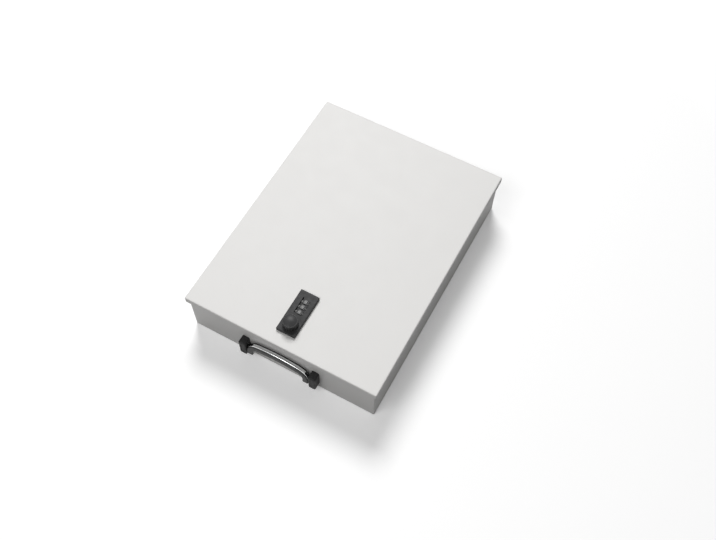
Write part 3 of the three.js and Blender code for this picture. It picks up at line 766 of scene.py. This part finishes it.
knob_radius = 0.0102
knob_edge = 0.0008
dome_radius = 0.0088
dome_drop = 0.0017
rim_drop = 0.0015
spindle_radius = 0.004
square_size = 0.006
stud_radius = 0.0025
stud_chamfer = 0.0003
stud_point = 0.0008
flute_count = 16
flute_radius = 0.0013
flute_depth = 0.0005
flute_margin = 0.0012
low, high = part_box("lock_knob")
knob_top = high.z
knob_rim = knob_top - rim_drop
knob_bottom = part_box("lock_housing")[1].z + 0.0002
cam_low, cam_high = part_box("lock_cam")
spindle_end = cam_high.z + 0.00025
rim_arc = [
    (knob_radius - knob_edge + knob_edge * sin(turn * pi / 10),
     knob_rim - knob_edge + knob_edge * cos(turn * pi / 10)) for turn in range(6)
]
shape = spun([
    *[(dome_radius * step / 10, knob_top - dome_drop * (step / 10) ** 2) for step in range(11)],
    (dome_radius, knob_rim),
    *rim_arc,
    (knob_radius, knob_bottom),
    (spindle_radius, knob_bottom),
    (spindle_radius, spindle_end),
    (stud_radius, spindle_end),
    *threaded(stud_radius, cam_low.z, low.z + stud_chamfer),
    (stud_radius - stud_chamfer, low.z + stud_chamfer),
    (stud_radius - stud_point, low.z),
    (0, low.z),
])
square = block(
    (-square_size / 2, -square_size / 2, cam_low.z),
    (square_size / 2, square_size / 2, cam_high.z + 0.0005),
)
flutes = []
for step in range(flute_count):
    angle = (step + 0.5) * 2 * pi / flute_count
    away = knob_radius + flute_radius - flute_depth
    x, y = away * cos(angle), away * sin(angle)
    flutes.append(rod(
        flute_radius, (x, y, knob_bottom - sheet), (x, y, knob_rim - flute_margin), 32,
    ))
shape = carved(combined("UNION", shape, square), gathered(flutes))
put(
    moved(shape, Matrix.Translation((knob_place.x, knob_place.y, 0))), "knob_casting",
    dark_coat("dark grey coat, knob", (0.048, 0.048, 0.049), (0.075, 0.075, 0.075), 0.36),
    "lock_knob", edge=0.00015, sharp=30,
)


# Cam, washer and nut, of zinc-plated steel. The cam is a flat latch whose square hole sits on the
# square of the knob's spindle, and the washer and the nut hold it there.
stud_hole = 0.0028
nut_flat = 0.004
nut_flat_edge = 0.0001
nut_corner = nut_flat / cos(pi / 6)
nut_chamfer = nut_corner - nut_flat


def ring(radius, bore, thickness):
    return spun([
        (bore, 0), (radius, 0), (radius, thickness), (bore, thickness), (bore, 0),
    ], 64)


refined("lock_cam", zinc, 0.0002)
low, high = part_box("cam_washer")
put(
    moved(
        ring((high.x - low.x) / 2, stud_hole, high.z - low.z),
        Matrix.Translation((knob_place.x, knob_place.y, low.z)),
    ), "cam_washer_ring", zinc, "cam_washer", edge=0.00015,
)
low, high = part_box("cam_nut")
nut_height = high.z - low.z
hexagon = bmesh.new()
bmesh.ops.create_cone(
    hexagon, cap_ends=True, segments=6, radius1=nut_corner, radius2=nut_corner, depth=nut_height,
    matrix=Matrix.Translation((0, 0, nut_height / 2)) @ Matrix.Rotation(pi / 6, 4, "Z"),
)
shape = combined("INTERSECT", hexagon, spun([
    (0, 0), (nut_flat - nut_flat_edge, 0), (nut_corner, nut_chamfer),
    (nut_corner, nut_height - nut_chamfer), (nut_flat - nut_flat_edge, nut_height),
    (0, nut_height),
]))
shape = carved(shape, rod(stud_hole, (0, 0, -0.001), (0, 0, nut_height + 0.001), 48))
put(
    moved(shape, Matrix.Translation((knob_place.x, knob_place.y, low.z))), "cam_nut_hexagon",
    zinc, "cam_nut", edge=0.0001,
)


# Cover, clamp and their two screws. The cover closes the case from below, and the steel channel
# under it presses on the lid from inside. The screws have a domed head with a cross recess.
lock_screw_radius = 0.0015
lock_screw_head = 0.0022
head_rim = 0.35
screw_point = 0.6
recess_half = 0.0005
recess_reach = 0.58
recess_taper = (0.6, 0.35, 1)
recess_turn = 0.3


def screw(radius, head_radius, head_height, length):
    dome = [
        (head_radius * sin(turn * pi / 12),
         -head_height * (head_rim + (1 - head_rim) * cos(turn * pi / 12))) for turn in range(7)
    ]
    shape = spun([
        *dome,
        (head_radius, 0),
        (radius, 0),
        *threaded(radius, 0.0004, length - radius * screw_point),
        (radius * screw_point, length),
        (0, length),
    ], 64)
    arms = []
    for turn in (0, pi / 2):
        arm = block(
            (-recess_half, -head_radius * recess_reach, -head_height - recess_half),
            (recess_half, head_radius * recess_reach, -head_height * head_rim),
        )
        floor_verts = [vert for vert in arm.verts if vert.co.z > -head_height * 0.5]
        bmesh.ops.scale(arm, vec=recess_taper, verts=floor_verts)
        arms.append(moved(arm, Matrix.Rotation(turn + recess_turn, 4, "Z")))
    return carved(shape, *arms)


refined("lock_back_cover", zinc, 0.00015)
refined("lock_clamp", zinc, 0.0002)
for node in ("lock_screw_front", "lock_screw_rear"):
    low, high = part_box(node)
    length = high.z - low.z - lock_screw_head
    shape = screw(lock_screw_radius, (high.x - low.x) / 2, lock_screw_head, length)
    stand = Matrix.Translation((middle(node).x, middle(node).y, low.z + lock_screw_head))
    put(moved(shape, stand), node + "_cross_recess", zinc, node, edge=0.00008)


# Handle mounts. Two blocks moulded in black plastic with rounded edges and a shallow panel in
# the front, screwed on from inside the box.
def black_plastic(name, dark, light, roughness, shine):
    finish, nodes, links, surface = new_finish(name)
    tone = spread(nodes, links, noise(nodes, links, 120, 3), 0, 1)
    links.new(blended(nodes, links, tone, dark, light), surface.inputs["Base Color"])
    links.new(
        spread(nodes, links, noise(nodes, links, 260, 4, 0.6), roughness - 0.06, roughness + 0.08),
        surface.inputs["Roughness"],
    )
    surface.inputs["Specular IOR Level"].default_value = shine
    place = nodes.new("ShaderNodeTexCoord")
    pebbles = nodes.new("ShaderNodeTexVoronoi")
    pebbles.inputs["Scale"].default_value = 1800
    links.new(place.outputs["Object"], pebbles.inputs["Vector"])
    links.new(grain(nodes, links, [
        (pebbles.outputs["Distance"], 0.00005, 0.3),
        (noise(nodes, links, 4000, 2), 0.00002, 0.3),
    ]), surface.inputs["Normal"])
    return finish


mount_black = black_plastic(
    "black plastic, mounts", (0.02, 0.02, 0.0203), (0.027, 0.027, 0.0273), 0.5, 0.22,
)
mount_corner = 0.0025
mount_front_edge = 0.0018
panel_side = 0.0028
panel_end = 0.0045
panel_depth = 0.0005
panel_corner = 0.0015
for side in ("left", "right"):
    node = "handle_mount_" + side
    low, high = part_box(node)
    shape = block(low, high)
    round_off(shape, edges_along(shape, 1), mount_corner, 6)
    round_off(shape, [
        edge for edge in shape.edges if max(vert.co.y for vert in edge.verts) < low.y + 1e-6
    ], mount_front_edge, 5)
    panel = block(
        (low.x + panel_side, low.y - 0.001, low.z + panel_end),
        (high.x - panel_side, low.y + panel_depth, high.z - panel_end),
    )
    round_off(panel, edges_along(panel, 1), panel_corner, 5)
    put(carved(shape, panel), "handle_block_" + side, mount_black, node, edge=0.0002)


# Grip. A black moulded bow on two legs, folded up on the front wall. Its section is drawn up one
# leg, round the shoulders and over the bow, and a groove in its outside edge takes the trim.
grip_black = black_plastic(
    "black plastic, grip", (0.019, 0.019, 0.0195), (0.026, 0.026, 0.0265), 0.36, 0.4,
)
pivot = Vector(next(joint["pos_m"] for joint in frame["joints"] if joint["name"] == "handle_fold"))
fold_lean = Matrix.Translation(pivot) @ Matrix.Rotation(radians(-3), 4, "X")
grip_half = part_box("handle_grip")[1].x
grip_depth = 0.0084
grip_thickness = 0.0084
grip_corner = 0.0016
grip_top = 0.024
bow_radius = 0.16
shoulder_radius = 0.018
foot_round = 0.0026
eye_radius = 0.0023
eye_reach = 0.06
trim_width = 0.0048
trim_thickness = 0.0012
trim_proud = 0.0003
trim_foot = 0.005
groove_play = 0.0003
groove_corner = 0.0001


def new_verts(made):
    return [part for part in made if isinstance(part, bmesh.types.BMVert)]


def section_along_grip(inside, outside, width, corner):
    shape = bmesh.new()
    bmesh.ops.create_grid(shape, x_segments=1, y_segments=1, size=0.5)
    bmesh.ops.scale(shape, vec=(outside - inside, width, 1), verts=shape.verts)
    outer = [vert for vert in shape.verts if vert.co.x > 0]
    inner = [vert for vert in shape.verts if vert.co.x < 0]
    for verts, round_size in zip((inner, outer), corner):
        bmesh.ops.bevel(
            shape, geom=verts, offset=round_size, offset_type="OFFSET", segments=5, profile=0.5,
            affect="VERTICES", material=-1,
        )
    bmesh.ops.translate(shape, vec=(grip_half + (outside + inside) / 2, 0, 0), verts=shape.verts)
    bmesh.ops.delete(shape, geom=shape.faces[:], context="FACES_ONLY")
    shoulder_place = grip_half - shoulder_radius
    reach = bow_radius - shoulder_radius
    meeting = acos(shoulder_place / reach)
    bow_centre = grip_top - bow_radius
    shoulder_height = bow_centre + reach * sin(meeting)
    end = bmesh.ops.extrude_edge_only(shape, edges=shape.edges[:])["geom"]
    bmesh.ops.translate(shape, vec=(0, 0, shoulder_height), verts=new_verts(end))
    for centre, angle, steps in (
        ((shoulder_place, 0, shoulder_height), meeting, 18),
        ((0, 0, bow_centre), pi - 2 * meeting, 24),
        ((-shoulder_place, 0, shoulder_height), meeting, 18),
    ):
        end = [part for part in end if not isinstance(part, bmesh.types.BMFace)]
        end = bmesh.ops.spin(
            shape, geom=end, cent=centre, axis=(0, -1, 0), dvec=(0, 0, 0), angle=angle,
            steps=steps,
        )["geom_last"]
    end = [part for part in end if isinstance(part, bmesh.types.BMEdge)]
    last = bmesh.ops.extrude_edge_only(shape, edges=end)["geom"]
    bmesh.ops.translate(shape, vec=(0, 0, -shoulder_height), verts=new_verts(last))
    return shape


def closed(shape):
    rims = [edge for edge in shape.edges if len(edge.link_faces) == 1]
    bmesh.ops.holes_fill(shape, edges=rims, sides=0)
    bmesh.ops.recalc_face_normals(shape, faces=shape.faces)
    return shape


def band(inside, outside, width, foot, corner):
    shape = section_along_grip(inside, outside, width, corner)
    bmesh.ops.bisect_plane(
        shape, geom=shape.verts[:] + shape.edges[:] + shape.faces[:], dist=1e-7,
        plane_co=(0, 0, foot), plane_no=(0, 0, -1), clear_outer=True,
    )
    return closed(shape)


shape = section_along_grip(-grip_depth, 0, grip_thickness, (grip_corner, grip_corner))
rims = [edge for edge in shape.edges if len(edge.link_faces) == 1]
feet = bmesh.ops.extrude_edge_only(shape, edges=rims)["geom"]
bmesh.ops.translate(shape, vec=(0, 0, -grip_depth / 2), verts=new_verts(feet))
shape = closed(shape)
sole = [
    edge for edge in shape.edges
    if max(vert.co.z for vert in edge.verts) < -grip_depth / 2 + 1e-6
]
round_off(shape, sole, foot_round, 5)
groove = band(
    trim_proud - trim_thickness - groove_play, grip_depth / 2, trim_width + 2 * groove_play,
    trim_foot - groove_play, (groove_corner, groove_corner),
)
eyes = rod(eye_radius, (-eye_reach, 0, 0), (eye_reach, 0, 0), 48)
put(
    moved(carved(shape, groove, eyes), fold_lean), "grip_bow", grip_black, "handle_grip",
    edge=0.00015,
)


# Trim. A bright chromed strip with a soft crown, pressed into the groove in the grip's outside
# edge. It runs from one leg over the bow to the other.
trim_crown = 0.0009
trim_back_edge = 0.0002
chrome, nodes, links, surface = new_finish("bright chrome")
haze = spread(nodes, links, noise(nodes, links, 150, 4, 0.6), 0, 0.6, 0.45, 0.75)
links.new(
    blended(nodes, links, haze, (0.87, 0.875, 0.88), (0.74, 0.745, 0.75)),
    surface.inputs["Base Color"],
)
surface.inputs["Metallic"].default_value = 1
scratches = noise(nodes, links, 700, 4, 0.7, (0.03, 1, 1))
links.new(spread(nodes, links, scratches, 0.07, 0.2), surface.inputs["Roughness"])
links.new(grain(nodes, links, [(scratches, 0.00002, 0.15)]), surface.inputs["Normal"])
shape = band(
    trim_proud - trim_thickness, trim_proud, trim_width, trim_foot, (trim_back_edge, trim_crown),
)
put(moved(shape, fold_lean), "trim_strip", chrome, "handle_trim", edge=0.00012)


# Pivot pins, screws and washers of the handle, of zinc-plated steel. The pins stand in the mounts
# and the grip's eyes turn on them. The screws come through the front wall into the mounts.
handle_screw_radius = 0.0016
handle_screw_head = 0.002
washer_hole = 0.0019
for side in ("left", "right"):
    node = "handle_pin_" + side
    low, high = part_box(node)
    axle = middle(node)
    put(
        rod((high.z - low.z) / 2, (low.x, axle.y, axle.z), (high.x, axle.y, axle.z), 48),
        node + "_turned", zinc, node, edge=0.0004, steps=3,
    )
laid = Matrix.Rotation(pi / 2, 4, "X")
for number in (1, 2, 3, 4):
    node = f"handle_screw_{number}"
    low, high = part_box(node)
    length = high.y - low.y - handle_screw_head
    shape = screw(handle_screw_radius, (high.x - low.x) / 2, handle_screw_head, length)
    stand = Matrix.Translation((middle(node).x, high.y - handle_screw_head, middle(node).z))
    put(moved(shape, stand @ laid), node + "_cross_recess", zinc, node, edge=0.00008)
    node = f"handle_washer_{number}"
    low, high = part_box(node)
    shape = ring((high.x - low.x) / 2, washer_hole, high.y - low.y)
    stand = Matrix.Translation((middle(node).x, high.y, middle(node).z))
    put(moved(shape, stand @ laid), node + "_ring", zinc, node, edge=0.00012)
